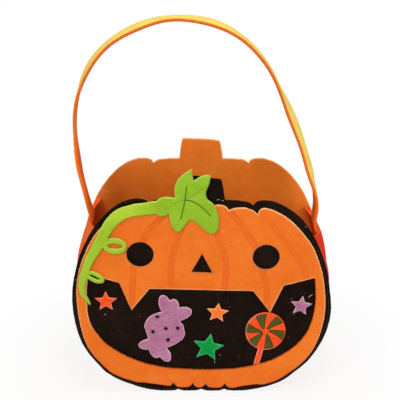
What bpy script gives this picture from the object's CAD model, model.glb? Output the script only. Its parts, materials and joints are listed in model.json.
"""Felt trick-or-treat basket, dressed as sewn and die-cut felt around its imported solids.

Lengths are in metres. The bag stands on z = 0 with its face towards -Y. Flat felt is cut to the outlines of
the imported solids, and the gusset and the strap follow the same formulas as those solids.
"""

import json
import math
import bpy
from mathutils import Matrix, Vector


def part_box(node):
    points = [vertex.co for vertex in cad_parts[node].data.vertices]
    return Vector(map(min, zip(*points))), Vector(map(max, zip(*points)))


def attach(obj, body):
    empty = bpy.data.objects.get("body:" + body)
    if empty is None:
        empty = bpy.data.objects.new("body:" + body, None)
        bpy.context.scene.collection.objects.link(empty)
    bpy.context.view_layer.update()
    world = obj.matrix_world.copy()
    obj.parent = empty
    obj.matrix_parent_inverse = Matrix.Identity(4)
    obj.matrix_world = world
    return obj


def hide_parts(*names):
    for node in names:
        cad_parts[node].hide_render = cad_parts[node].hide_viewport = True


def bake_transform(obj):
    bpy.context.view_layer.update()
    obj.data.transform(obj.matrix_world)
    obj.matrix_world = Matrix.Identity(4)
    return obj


bl_info = {
    "name": "Felt pumpkin basket",
    "version": (1, 0, 0),
    "blender": (4, 5, 0),
    "location": "3D View > Sidebar > Felt basket",
    "description": "Dresses the packed solids of a felt basket as sewn, die-cut felt",
    "category": "Object",
}

import bpy
import numpy as np
from mathutils import Vector
from mathutils.geometry import delaunay_2d_cdt

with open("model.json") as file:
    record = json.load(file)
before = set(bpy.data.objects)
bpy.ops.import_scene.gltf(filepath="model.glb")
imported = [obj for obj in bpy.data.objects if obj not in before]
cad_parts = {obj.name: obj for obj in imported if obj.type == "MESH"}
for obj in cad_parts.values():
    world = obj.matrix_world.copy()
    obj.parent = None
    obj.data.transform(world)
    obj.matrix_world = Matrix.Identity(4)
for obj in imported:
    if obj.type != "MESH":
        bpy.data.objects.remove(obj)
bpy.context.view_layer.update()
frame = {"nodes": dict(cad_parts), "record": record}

# The bag's own sizes, as in the solids
HALF_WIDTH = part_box("front_panel")[1][0]
PANEL_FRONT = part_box("front_panel")[0][1]
BACK_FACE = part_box("back_panel")[1][1]
WAIST_HEIGHT = 0.0885
CROWN_RISE = 0.0955
CROWN_HEIGHT = WAIST_HEIGHT + CROWN_RISE
SHOULDER_X = 0.053
SHOULDER_POWER = 1.8
HIP_X = 0.031
HIP_POWER = 2.0
GUSSET_FELT = 0.0020
GUSSET_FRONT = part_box("gusset")[0][1]
GUSSET_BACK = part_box("gusset")[1][1]
GUSSET_DEPTH = GUSSET_BACK - GUSSET_FRONT
GUSSET_MIDDLE = (GUSSET_FRONT + GUSSET_BACK) / 2
GUSSET_TOP = 0.146
ROUTE_TOP = 0.170
SEAM_ALLOWANCE = 0.0040
FLANGE_SETBACK = 0.0006
FOLD_RADIUS = 0.0016
SIDE_BULGE = 0.0050
BASE_BULGE = 0.0045
LAYER_GAP = 0.0003
SEAM_INSET = 0.0023

# Heights of the gusset's two ends at the front panel, at the strap and at the back panel, and how far from
# the strap, as a share of the way to the front and to the back, they stay level
LEFT_TOPS = (0.1580, 0.1460, 0.1475)
RIGHT_TOPS = (0.1505, 0.1358, 0.1390)
LEVEL_SHARES = (0.2, 0.5)
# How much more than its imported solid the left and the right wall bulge, at some heights
SLUMP_HEIGHTS = (0.095, 0.103, 0.112, 0.121, 0.130, 0.136, 0.142, 0.150)
LEFT_SLUMP = (0.0, -0.0003, -0.0007, -0.0009, -0.0009, -0.0008, -0.0005, 0.0)
RIGHT_SLUMP = (0.0, -0.0001, 0.0008, 0.0013, 0.0017, 0.0011, 0.0008, 0.0008)
# How far the strap's right end leans out beyond the wall, at some heights
STRAP_LEAN = ((0.1350, 0.0), (0.1390, 0.0016), (0.1430, 0.0025), (0.1480, 0.0025))

# The strap's route: its hinge, its arch, and how far its sewn ends reach down inside the gusset
STRAP_FELT = 0.0028
STRAP_WIDTH = 0.0180
TAB_LENGTH = 0.032
TAB_SETBACK = 0.0008
AXIS_HEIGHT = frame["record"]["behaviour"]["joints"][0]["pos_m"][2]
ARCH_FOOT = 0.0105
ARCH_RISE = 0.1667
ARCH_LEAN = 0.0198
LEFT_BOW = 0.1060
LEFT_BOW_HEIGHT = 0.0751
RIGHT_KNEE = 0.0712
RIGHT_KNEE_HEIGHT = 0.0931
# Handles before and after each of the arch's five knots, from left to right, as (x, z)
ARCH_HANDLES = (
    ((0.0, 0.0), (-0.0131, 0.0440)), ((0.0, -0.0143), (0.0, 0.0676)), ((-0.0322, 0.0), (0.0556, 0.0)),
    ((-0.0170, 0.0388), (0.0215, -0.0491)), ((0.0075, 0.0125), (0.0, 0.0)),
)
# The arch's twist in degrees, at some shares of its length
TWIST = (
    (0.0, 0.0), (0.03, 3.0), (0.07, 3.5), (0.12, 1.6), (0.18, 1.6), (0.25, 4.0), (0.36, 5.2), (0.42, -0.4),
    (0.48, -1.2), (0.52, -2.8), (0.60, 1.2), (0.64, -1.5), (0.68, -5.5), (0.71, 0.0), (0.745, 6.5),
    (0.78, 11.0), (0.85, 14.0), (0.89, 13.0), (0.91, 11.0), (0.93, 2.0), (0.95, -3.5), (0.985, -2.0),
    (1.0, 0.0),
)
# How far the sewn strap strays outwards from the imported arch, in millimetres, at some shares of its length
STRAY = (
    (0.0, 0.0), (0.04, -0.4), (0.09, -0.5), (0.13, 0.2), (0.16, 0.6), (0.19, 0.1), (0.22, -0.3),
    (0.26, -0.2), (0.33, -0.4), (0.375, -0.1), (0.43, -0.9), (0.50, 0.0), (0.54, -0.1), (0.58, -0.6),
    (0.61, -0.3), (0.64, 0.3), (0.68, 0.4), (0.72, -0.1), (0.77, 0.3), (0.83, 0.0), (0.92, -0.2),
    (0.96, 0.4), (1.0, 0.0),
)
# Running means along the strap, in points 1 mm apart: of its route, of how it strays and of its twist
STRAP_STEP = 0.0010
ROUTE_MEAN, STRAY_MEAN, TWIST_MEAN = 15, 21, 23

# How the filled bag pushes its felt out of the flat: the height of a dome, and slow waves as rows of height,
# length in one direction, length in the other and phase
FRONT_DOME, BACK_DOME, BACK_LEAN = -0.0013, 0.0016, 0.0010
FRONT_WAVES = ((0.00035, 0.121, 0.31, 0.12), (0.000245, -0.27, 0.139, 0.0))
BACK_WAVES = ((0.00045, 0.143, -0.26, 0.4), (0.00027, 0.33, 0.118, 0.0))
GUSSET_WAVES = ((0.0007, 0.063, 0.19, 0.0), (0.0006, 0.037, -0.085, 0.3))
STRAP_WAVES = ((0.0004, 0.057, 0.05, 0.0),)
STRAP_CUP = 0.00035

# How felt is cut and meshed. The die's wear is a sum of sines: wave length, and share of the wobble
EDGE_ROUND = 0.00035
EDGE_FADE = 0.0006
RING_INSETS = (0.0003, 0.0009, 0.0020)
WEAR = ((0.0043, 0.35), (0.0108, 0.45), (0.031, 0.6))
CORNER_COSINE = math.cos(math.radians(40))
SHARP_ANGLE = math.radians(48)
HANDLE_SHARE = 0.39
SPAN_STEPS = 8
WELD = 1e-6
CHUNK = 1500
# The step along a cut's outline, the spacing of the points inside it, and the seed of the die's wear
CUTS = {
    "front_panel": (0.0012, 0.0034, 3), "back_panel": (0.0012, 0.0034, 5),
    "face_overlay": (0.0010, 0.0028, 7), "leaf_and_vine": (0.0009, 0.0022, 9),
    "lollipop": (0.0007, 0.0008, 11),
}
SMALL_CUT = (0.0007, 0.0016, 11)
RIB_STEP, VEIN_STEP = 0.0018, 0.0009
# Steps of the gusset's route, of a seam, of the strips' rows and of the strap's columns, and how many points
# go round a fold and across the gusset's wall
ROUTE_STEP, SEAM_STEP = 0.0008, 0.0015
GUSSET_ROWS, STRAP_ROWS, STRAP_COLUMNS = 0.0026, 0.0022, 0.0020
FOLD_POINTS, WALL_POINTS = 6, 37
# How gently the gusset's bottom turns flat on the floor
FLOOR_EASE = 0.0004

# How the sewn bag settles out of its packed outlines. Each row moves the felt near a point (x, z), within a
# reach in x and z, by (dx, dz), all in millimetres
SETTLED = (
    (-96, 36, 30, 30, -1.41, -0.77), (105, 57, 32, 32, 2.1, -0.63), (82, 20, 20, 20, 0.65, -0.6),
    (-77, 15, 15, 13, -0.6, -0.9), (67, 9, 18, 10, 0.2, -0.8),
)
SETTLED_FRONT = ((18, 200, 17, 16, 0.0, -2.3), (56, 184, 32, 20, 0.0, -1.7))
SETTLED_BACK = ((14, 206, 28, 17, 0.0, -2.3),)
SETTLED_FACE = (
    (-90, 30, 28, 28, -1.15, -0.72), (92, 32, 18, 18, 1.0, -0.6), (106, 74, 16, 16, -0.85, 0.0),
    (-42, 6, 12, 8, 0.0, 2.4), (41, 6, 11, 8, 0.0, 2.1), (17.5, 179, 8, 12, 0.0, 3.0),
    (44, 176, 6, 10, 0.0, -1.5), (76, 163, 22, 22, -0.65, -1.0), (-102, 125, 10, 30, -1.2, 0.0),
    (73, 14, 15, 12, 0.4, -0.4), (-89, 150, 12, 14, -1.2, 0.3),
)
SETTLED_LEAF = (
    (-80, 166, 22, 22, -1.0, 1.2), (-52, 184, 16, 12, 0.0, -1.0), (-89, 137, 11, 15, -1.4, 0.3),
)
SETTLED_MOUTH = ((-70, 32, 15, 15, 0.45, 0.45), (-94, 72, 8, 12, -0.9, -0.3))
SETTLED_CANDY = (
    (-16.5, 75.5, 6, 6, -1.5, -1.2), (-49.5, 58.5, 6, 6, 1.6, 1.2), (-33, 85, 20, 8, 0.0, -0.9),
    (-12.5, 67.5, 6, 7, -1.5, -0.5), (-21.0, 49.0, 6, 3.5, 0.0, 0.9), (-44.0, 38.0, 4, 4, 0.8, 0.9),
    (-27.0, 45.0, 3.5, 4, -0.9, 0.0),
)
MOUTH_MIDDLE = 0.095
MOUTH_SWELL = 0.0010

# Ribs printed on the face: how strongly, and then (x, z) in millimetres from crown to mouth
RIBS = (
    (0.95, (-26.0, 178.0), (-33.3, 167.7), (-43.8, 156.4), (-48.4, 145.7), (-56.4, 124.1), (-57.6, 108.3),
     (-59.3, 84.0)),
    (0.80, (-13.5, 170.0), (-17.6, 153.4), (-21.8, 141.1), (-24.7, 128.7), (-25.6, 116.6), (-25.0, 98.0)),
    (0.35, (-60.0, 166.0), (-68.9, 154.5), (-84.7, 130.6), (-91.0, 119.4), (-95.0, 108.0)),
    (0.75, (8.0, 172.0), (13.5, 153.6), (17.1, 141.1), (20.6, 128.7), (20.8, 116.6), (18.9, 98.0)),
    (0.85, (20.0, 178.0), (27.0, 169.9), (34.6, 159.4), (40.5, 150.3), (44.8, 142.6), (52.1, 117.8),
     (55.5, 105.2), (55.8, 84.0)),
    (0.55, (42.0, 176.0), (50.9, 169.2), (62.5, 156.4), (69.7, 147.2), (76.7, 136.4), (84.3, 125.9),
     (89.5, 110.0)),
    (0.35, (-43.0, 32.0), (-35.2, 23.5), (-29.0, 12.0), (-23.5, 5.0)),
    (0.30, (-16.5, 30.0), (-13.5, 20.0), (-6.5, 5.0)),
    (0.25, (20.0, 30.0), (16.0, 20.0), (6.0, 5.0)),
    (0.35, (46.0, 33.0), (37.5, 22.0), (29.0, 11.0), (23.5, 5.0)),
)
RIB_OFFSETS = (
    -0.0008, -0.0016, -0.0021, -0.0026, -0.0034, 0.0008, 0.0016, 0.0021, 0.0026, 0.0034, 0.0,
)
# Veins pressed in the leaf, from its hub, in millimetres
VEINS = (
    ((-16.9, 167.6), (-14.8, 176.5), (-13.3, 184.8), (-12.5, 190.5), (-11.9, 196.6)),
    ((-13.3, 184.8), (-8.6, 184.0), (-4.9, 182.2), (-0.2, 179.0), (4.0, 175.0), (7.6, 170.6)),
)
FAINT_VEINS = (
    ((-13.3, 184.8), (-6.5, 188.9), (3.0, 195.6)), ((-13.3, 184.8), (-17.5, 183.6), (-21.7, 181.4)),
)
VEIN_OFFSETS = (-0.0011, -0.0005, 0.0, 0.0005, 0.0011)
# The leaf's cut is long and slanting: its smallest box is turned, 60 mm wide and 152 mm long
LEAF_FLAT = (0.060, 0.152)
# The stars: colour in their names, slot, felt, its three colours and its rim's, its streaks and its seed
STARS = (
    ("red", "red_orange_felt", "needled_red_orange_felt", ("#E24010", "#F44E1A", "#FF6A38"), "#FF9466",
     1.0, 7.7),
    ("orange", "light_orange_felt", "needled_light_orange_felt", ("#F0661A", "#FE7626", "#FF8E48"), "#FFC48C",
     1.0, 8.3),
    ("green", "green_felt", "needled_green_felt", ("#008432", "#00953A", "#1AA850"), "#58C890", 1.0, 9.1),
    ("purple", "purple_felt", "needled_purple_felt_star", ("#8E5270", "#AC6A86", "#C68CA4"), "#E4BECC",
     2.0, 3.9),
)
# Dots punched in the purple shape: x, z and radius in millimetres
DOTS = (
    (-37.4, 75.9, 1.35), (-30.4, 64.3, 1.45), (-20.2, 64.6, 1.35), (-41.5, 61.2, 1.45),
    (-28.6, 53.0, 1.45),
)
DOT_POINTS = 16
# The lollipop's disc, as drawn a little taller than wide, and its print
DISC_RADIUS = 0.0180
DISC_STRETCH = (0.957, 1.02)
STICK_PULL = (-0.000552, -0.002328)
HUB_RADIUS = 0.0029
PRINT_RADIUS = 0.0172
PRINT_ROOT = 0.0009
# Swirl sectors: angles in degrees at the rim and at the hub, and half of their width
SECTORS = (
    (103.5, 122, 17), (44.0, 58, 15.5), (-15.6, 8, 16), (-79.0, -66, 15), (-133.0, -145, 16.5),
    (166.8, 181, 16),
)
# Lint and loose threads on the black felt: x, z, length and direction in millimetres and degrees
LINT = (
    (-106.0, 109.9, 1.3, 80), (-103.1, 120.7, 1.5, 60), (-104.9, 114.6, 0.8, 95), (-78.8, 16.3, 1.6, -40),
    (86.3, 159.2, 1.4, -50), (13.7, 183.3, 2.6, 5), (17.4, 182.6, 2.0, -30), (76.8, 91.8, 1.2, 70),
    (74.2, 88.2, 1.0, 20), (79.0, 77.0, 1.3, -60), (16.4, 36.9, 1.5, 30), (18.0, 34.6, 0.8, 80),
    (12.0, 29.8, 3.0, 93), (-81.8, 77.2, 2.4, 95), (50.2, 140.4, 0.7, 30), (93.2, 94.6, 5.2, 40),
)
# Finer lint is strewn over it: how much, and between which values of the same four
FINE_LINT = 60
FINE_RANGES = ((-104, 104), (4, 200), (0.5, 1.2), (0, 180))
LINT_COVERS = (
    "leaf_and_vine", "candy_applique", "lollipop", "star_red", "star_orange", "star_green", "star_purple",
)

# Felt's noise in the mesh's place and in the cloth's own, as scales and a turn. A scale is one over a size in
# metres: streaks are 5 mm long and 0.7 mm wide, and tangles 3 mm and 1.25 mm
SHEET_GRAIN = ((200, 350, 1400), (330, 350, 800), (0, math.radians(38), 0))
CLOTH_GRAIN = ((200, 1400, 1), (330, 800, 1), (0, 0, math.radians(38)))
# Mottle 12 mm wide, clouds 48 mm wide and a fine grain of 0.7 mm
MOTTLE, CLOUD, FINE_GRAIN = 85.0, 21.0, 1500.0
# The thread's ply turns every 0.5 mm, and flecks in the paper are 3.3 mm wide
THREAD_PLY = 2000.0
PAPER_GRAIN = 300.0

# The stage: rings of the floor, where its own light fades in, lamps as (name, place, target, size, power),
# and the camera
FLOOR_RADII = (0.3, 0.8, 1.6, 3.0, 6.0)
FLOOR_SIDES = 96
FLOOR_DEPTH = -0.0003
FLOOR_FADE = (0.125, 0.24)
WORLD_LEVEL = 0.32
LAMPS = (
    ("key", (-0.75, -1.15, 1.35), (0, 0, 0.12), 0.45, 9.0),
    ("front", (0.95, -1.4, 0.6), (0, 0, 0.14), 0.8, 8.8),
    ("top", (0.15, -0.2, 1.55), (0, 0, 0.15), 0.7, 8.5),
)
CAMERA_PLACE = (-0.00098, -0.853)
CAMERA_TILT = math.radians(67.044)
CAMERA_LENS = 96.417


def linear_colour(text):
    """Linear RGBA of an sRGB hex value."""
    values = [int(text[i : i + 2], 16) / 255 for i in (1, 3, 5)]
    return (*[v / 12.92 if v <= 0.04045 else ((v + 0.055) / 1.055) ** 2.4 for v in values], 1.0)


# Formulas that the pieces share


def between(values, start, end):
    """0 up to start, 1 from end on, and a straight ramp between them."""
    return np.clip((values - start) / (end - start), 0, 1)


def fade(distance, reach, power=2):
    """exp of minus (distance / reach) to a power."""
    return np.exp(-((distance / reach) ** power))


def slow_waves(first, second, table):
    """Sum over the table of height times sin of 2 pi (first / length + second / length + phase)."""
    return sum(
        height * np.sin(2 * math.pi * (first / one + second / other + phase))
        for height, one, other, phase in table
    )


def unit(vectors):
    """Each vector over its own length."""
    return vectors / np.maximum(np.linalg.norm(vectors, axis=-1, keepdims=True), 1e-12)


def running_mean(values, count, **beyond):
    """Mean of the count values around each one; beyond says how np.pad goes on past both ends."""
    return np.convolve(np.pad(values, count // 2, **beyond), np.ones(count) / count, "valid")


def cubic(start, leave, arrive, end, t):
    """Cubic span: (1-t)^3 start + 3 (1-t)^2 t leave + 3 (1-t) t^2 arrive + t^3 end."""
    near = (1 - t) ** 3 * start + 3 * (1 - t) ** 2 * t * leave
    return near + (3 * (1 - t) * t**2 * arrive + t**3 * end)


# Outlines and distances, as arrays of (x, z) points


def signed_area(outline):
    """Half the sum of cross products of neighbouring points: positive for a counter-clockwise outline."""
    ahead = np.roll(outline, -1, axis=0)
    return float(np.sum(outline[:, 0] * ahead[:, 1] - ahead[:, 0] * outline[:, 1])) / 2


def left_normals(path, closed=False):
    """Unit normals to the left of a path: its central difference turned by a quarter."""
    if closed:
        along = unit(np.roll(path, -1, axis=0) - np.roll(path, 1, axis=0))
    else:
        along = unit(np.gradient(path, axis=0))
    return np.column_stack([-along[:, 1], along[:, 0]])


def path_length(points, axis=0):
    """Length along a path, or along one axis of a grid, at each of its points: the sum of its steps."""
    steps = np.linalg.norm(np.diff(points, axis=axis), axis=-1)
    return np.insert(np.cumsum(steps, axis=axis), 0, 0.0, axis=axis)


def sampled(values, length, place):
    """Columns of values, known at lengths along a path, at other places on it."""
    return np.column_stack([np.interp(place, length, column) for column in values.T])


def even_steps(path, step):
    """The same path with its points about one step apart."""
    length = path_length(path)
    return sampled(path, length, np.linspace(0, length[-1], max(2, round(length[-1] / step) + 1)))


def smooth_lines(lines, step):
    """Catmull-Rom splines through points in millimetres, each cubic with half its neighbours' distance as
    tangents, in even steps.
    """
    t = np.linspace(0, 1, 10, endpoint=False)[None, :, None]
    smooth = []
    for line in lines:
        points = np.array(line) / 1000
        padded = np.vstack([2 * points[0] - points[1], points, 2 * points[-1] - points[-2]])[:, None]
        before, start, end, after = padded[:-3], padded[1:-2], padded[2:-1], padded[3:]
        curve = 2 * start + (end - before) * t + (2 * before - 5 * start + 4 * end - after) * t**2
        curve = (curve + (3 * start - before - 3 * end + after) * t**3) / 2
        smooth.append(even_steps(np.vstack([curve.reshape(-1, 2), points[-1:]]), step))
    return smooth


def node_loops(node):
    """Closed outlines of a flat packed sheet's front face, the outer one first and its holes after it.

    A directed edge that only one front triangle has is on the rim, and the rim is chained end to end.
    """
    mesh = frame["nodes"][node].data
    mesh.calc_loop_triangles()
    place = np.empty(3 * len(mesh.vertices))
    mesh.vertices.foreach_get("co", place)
    corners = np.empty(3 * len(mesh.loop_triangles), np.int32)
    mesh.loop_triangles.foreach_get("vertices", corners)
    keys = np.round(place.reshape(-1, 3) / WELD).astype(np.int64)
    _, first, index = np.unique(keys, axis=0, return_index=True, return_inverse=True)
    points = place.reshape(-1, 3)[first]
    triangles = index.ravel()[corners.reshape(-1, 3)]
    front = np.all(points[:, 1][triangles] < points[:, 1].min() + 10 * WELD, axis=1)
    rim = rim_edges(triangles[front])
    following = dict(zip(rim[:, 0].tolist(), rim[:, 1].tolist()))
    loops = []
    while following:
        start, here = following.popitem()
        loop = [start]
        while here != start:
            loop.append(here)
            here = following.pop(here)
        loops.append(points[loop][:, (0, 2)])
    loops.sort(key=lambda loop: -abs(signed_area(loop)))
    signs = [1] + [-1] * (len(loops) - 1)
    return [loop if signed_area(loop) * sign > 0 else loop[::-1] for loop, sign in zip(loops, signs)]


def fair(loop, spacing, wobble, rng):
    """Even, smooth outline through a loop's points, with its sharp corners kept.

    Each span is a cubic whose handles follow the mean of its neighbours' directions. The die's wear moves the
    cut sideways by a sum of three sines of its length.
    """
    after = np.roll(loop, -1, axis=0)
    ahead = after - loop
    behind = loop - np.roll(loop, 1, axis=0)
    reach = np.linalg.norm(ahead, axis=1)[:, None]
    reach_back = np.linalg.norm(behind, axis=1)[:, None]
    sharp = np.sum(ahead / reach * behind / reach_back, axis=1) < CORNER_COSINE
    along = unit(ahead / reach + behind / reach_back)
    pointed = sharp[:, None]
    leave = loop + np.where(pointed, ahead / 3, along * reach * HANDLE_SHARE)
    arrive = loop - np.where(pointed, behind / 3, along * reach_back * HANDLE_SHARE)
    t = (np.arange(SPAN_STEPS) / SPAN_STEPS)[None, :, None]
    parts = (loop, leave, np.roll(arrive, -1, axis=0), after)
    dense = cubic(*[part[:, None] for part in parts], t).reshape(-1, 2)
    dense = np.vstack([dense, dense[:1]])
    length = path_length(dense)
    total = length[-1]
    corners = length[:-1:SPAN_STEPS][sharp]
    count = max(14, round(total / spacing))
    even = np.arange(count) * total / count
    if len(corners):
        gap = np.abs(even[:, None] - corners[None])
        even = even[np.minimum(gap, total - gap).min(axis=1) > 0.4 * total / count]
        even = np.sort(np.concatenate([even, corners]))
    points = sampled(dense, length, even)
    shift = np.zeros(len(points))
    for wave, share in WEAR:
        turns = max(1, round(total / wave))
        shift += share * wobble * np.sin(2 * math.pi * (turns * even / total + rng.random()))
    return points + left_normals(points, closed=True) * shift[:, None]


def nudged(points, table):
    """Points moved by the table's rows: each shift falls off as exp of minus the distance to the 4th."""
    moved = np.array(points, float)
    for x, z, reach_x, reach_z, dx, dz in table:
        away = ((points[:, 0] * 1000 - x) / reach_x) ** 2 + ((points[:, 1] * 1000 - z) / reach_z) ** 2
        moved = moved + fade(away, 1)[:, None] * np.array((dx, dz)) / 1000
    return moved


def cut_outline(node, wobble, table=()):
    """Loops of a die cut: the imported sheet's outlines, smoothed, worn and settled."""
    step, _, seed = CUTS.get(node, SMALL_CUT)
    rng = np.random.default_rng(seed)
    return [nudged(fair(loop, step, wobble, rng), table) for loop in node_loops(node)]


def distance_to(points, starts, ends):
    """Distance from each point to the nearest of the segments between starts and ends."""
    span = ends - starts
    square = np.maximum((span**2).sum(axis=1), 1e-18)
    nearest = np.empty(len(points))
    for first in range(0, len(points), CHUNK):
        offset = points[first : first + CHUNK, None] - starts
        share = np.clip((offset * span).sum(axis=2) / square, 0, 1)
        away = offset - share[..., None] * span
        nearest[first : first + CHUNK] = np.sqrt((away**2).sum(axis=2).min(axis=1))
    return nearest


def distance_to_lines(points, lines):
    """Distance from each point to the nearest of some open lines."""
    starts = np.vstack([line[:-1] for line in lines])
    return distance_to(points, starts, np.vstack([line[1:] for line in lines]))


def rim_tone(loops, tone_of):
    """Field that gives each point the tone of the nearest place on the cut edge, worked out from its outward
    normals and its loop's number.
    """
    samples = np.vstack(loops)
    out = np.vstack([-left_normals(loop, closed=True) for loop in loops])
    tone = tone_of(out, np.repeat(np.arange(len(loops)), [len(loop) for loop in loops]))

    def field(flat):
        nearest = np.empty(len(flat), int)
        for first in range(0, len(flat), CHUNK):
            away = flat[first : first + CHUNK, None] - samples
            nearest[first : first + CHUNK] = np.argmin((away**2).sum(axis=2), axis=1)
        return tone[nearest]

    return field


def inside(points, loops):
    """Whether each point lies inside the loops, by how often a ray to +x crosses them."""
    crossings = np.zeros(len(points), int)
    for loop in loops:
        ahead = np.roll(loop, -1, axis=0)
        low, high = points[:, 1, None] >= loop[:, 1], points[:, 1, None] >= ahead[:, 1]
        rise = np.where(ahead[:, 1] == loop[:, 1], 1e-12, ahead[:, 1] - loop[:, 1])
        x = loop[:, 0] + (points[:, 1, None] - loop[:, 1]) / rise * (ahead[:, 0] - loop[:, 0])
        crossings += ((low != high) & (points[:, 0, None] < x)).sum(axis=1)
    return crossings % 2 == 1


def swell(x, z, dome, table):
    """Dome times 1 minus (x / half width) squared times a half sine of the height, and slow waves."""
    across = np.clip(1 - (x / HALF_WIDTH) ** 2, 0, 1)
    height = np.clip(z / CROWN_HEIGHT, 0, 1.12)
    belly = dome * across * np.sin(math.pi * np.clip(height * 0.92 + 0.04, 0, 1))
    return belly + slow_waves(x, z, table) * np.clip(z / 0.03, 0, 1)


def front_warp(x, z):
    """How far the front panel, and what is glued on it, lies behind its flat place."""
    return swell(x, z, FRONT_DOME, FRONT_WAVES)


def back_warp(x, z):
    """The same of the back panel, whose stem leans back with the square of its height."""
    return swell(x, z, BACK_DOME, BACK_WAVES) + BACK_LEAN * np.clip((z - 0.150) / 0.05, 0, 1.1) ** 2


# Meshes


def place_piece(name, mesh):
    """Links a finished mesh to the scene as an object at the origin."""
    piece = bpy.data.objects.new(name, mesh)
    bpy.context.scene.collection.objects.link(piece)
    return piece


def grid_faces(index):
    """Quads between neighbours in a grid of point numbers, first down and then across."""
    return np.stack([index[:-1, :-1], index[1:, :-1], index[1:, 1:], index[:-1, 1:]], -1).reshape(-1, 4)


def rim_edges(faces):
    """Directed edges that only one face has."""
    edges = np.vstack([faces[:, (i, (i + 1) % faces.shape[1])] for i in range(faces.shape[1])])
    _, first, uses = np.unique(np.sort(edges, axis=1), axis=0, return_index=True, return_counts=True)
    return edges[first[uses == 1]]


def close_shell(name, outer, inner, faces, fields, uv=None):
    """Closed felt from its outer side, its inner side and the cut edge between them.

    fields holds one value per point for each attribute, or a pair of arrays for the two sides.
    """
    count = len(outer)
    rim = rim_edges(faces)
    walls = np.column_stack([rim[:, 1], rim[:, 0], rim[:, 0] + count, rim[:, 1] + count])
    mesh = bpy.data.meshes.new(name)
    every = faces.tolist() + (faces[:, ::-1] + count).tolist() + walls.tolist()
    mesh.from_pydata(np.vstack([outer, inner]).tolist(), [], every)
    for label, values in fields.items():
        sides = values if isinstance(values, tuple) else (values, values)
        mesh.attributes.new(label, "FLOAT", "POINT").data.foreach_set("value", np.concatenate(sides))
    if uv is not None:
        corners = np.empty(len(mesh.loops), np.int32)
        mesh.loops.foreach_get("vertex_index", corners)
        layer = mesh.uv_layers.new(name="cloth")
        layer.data.foreach_set("uv", np.vstack([uv, uv])[corners].ravel())
    mesh.shade_smooth()
    mesh.set_sharp_from_angle(angle=SHARP_ANGLE)
    mesh.update()
    return place_piece(name, mesh)


def rim_profile(distance):
    """Share of the felt's thickness at a distance from its cut edge: a quarter round, and a faint dip."""
    inward = np.clip(distance / EDGE_ROUND, 0, 1)
    return (0.60 + 0.40 * np.sqrt(1 - (1 - inward) ** 2)) * (1 - 0.08 * fade(distance, 0.0012, 1))


def cut_felt(name, loops, front, thickness, spacing, warp, lines=(), offsets=(), relief=None, fields=None):
    """Flat felt cut to its loops, the outer one first, whose front lies at y = front plus the warp.

    One triangulation holds the loops, rings of points just inside them, a hexagonal grid and points beside
    the lines. The half thickness follows the distance to the cut edge, and relief presses the front in.
    """
    starts = np.vstack(loops)
    ends = np.vstack([np.roll(loop, -1, axis=0) for loop in loops])
    free = []
    for inset in RING_INSETS:
        ring = np.vstack([loop + left_normals(loop, closed=True) * inset for loop in loops])
        free.append(ring[distance_to(ring, starts, ends) > 0.9 * inset])
    low, high = starts.min(axis=0), starts.max(axis=0)
    xs, zs = np.meshgrid(np.arange(low[0], high[0], spacing), np.arange(low[1], high[1], spacing * 0.866))
    xs[1::2] += spacing / 2
    grid = np.column_stack([xs.ravel(), zs.ravel()])
    grid = grid[distance_to(grid, starts, ends) > RING_INSETS[-1] + 0.35 * spacing]
    if len(lines):
        grid = grid[distance_to_lines(grid, lines) > max(offsets) + 0.4 * spacing]
        beside = np.vstack([line + left_normals(line) * offset for line in lines for offset in offsets])
        free.append(beside[distance_to(beside, starts, ends) > RING_INSETS[0]])
    free.append(grid)
    rings = []
    count = 0
    for number, loop in enumerate(loops):
        ring = list(range(count, count + len(loop)))
        rings.append(ring if number == 0 else ring[::-1])
        count += len(loop)
    corners = [Vector(point) for point in np.vstack([starts, *free]).tolist()]
    flat, _, triangles, _, _, origins = delaunay_2d_cdt(corners, [], rings, 1, WELD)
    kept = np.array([t for t, within in zip(triangles, origins) if 0 in within and max(within) == 0])
    used, kept = np.unique(kept, return_inverse=True)
    kept = kept.reshape(-1, 3)
    flat = np.array([tuple(point) for point in flat])[used]
    edge = distance_to(flat, starts, ends)
    half = thickness / 2 * rim_profile(edge)
    middle = front + thickness / 2 + warp(flat[:, 0], flat[:, 1])
    pressed = 0 if relief is None else relief(flat)
    outer = np.column_stack([flat[:, 0], middle - half + pressed, flat[:, 1]])
    inner = np.column_stack([flat[:, 0], middle + half, flat[:, 1]])
    values = {"edge": fade(edge, EDGE_FADE)}
    values.update({label: field(flat) for label, field in (fields or {}).items()})
    return close_shell(name, outer, inner, kept, values)


def strip_felt(name, middle, thickness, fields):
    """Felt strip half on each side of a grid of points, rows by columns by xyz, with rounded cut edges.

    Its outer side lies along (down the rows) x (across the columns).
    """
    columns = middle.shape[1]
    normal = unit(np.cross(np.gradient(middle, axis=0), np.gradient(middle, axis=1)))
    down, side = path_length(middle, 0), path_length(middle, 1)
    edge = np.minimum(np.minimum(down, down[-1:] - down), np.minimum(side, side[:, -1:] - side))
    half = (thickness / 2 * rim_profile(edge))[..., None]
    index = np.arange(edge.size).reshape(edge.shape)
    uv = np.column_stack([np.repeat(down[:, columns // 2], columns), side.ravel()])
    outer, inner = (middle + normal * half).reshape(-1, 3), (middle - normal * half).reshape(-1, 3)
    return close_shell(
        name, outer, inner, grid_faces(index), {"edge": fade(edge.ravel(), EDGE_FADE), **fields}, uv
    )


def edge_stations(width, step):
    """Places across a strip: close together at its cut edges and one step apart between them."""
    inner = np.linspace(RING_INSETS[-1], width - RING_INSETS[-1], max(2, round(width / step)))
    rings = np.array(RING_INSETS[:-1])
    return np.concatenate([[0.0], rings, inner, width - rings[::-1], [width]])


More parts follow.
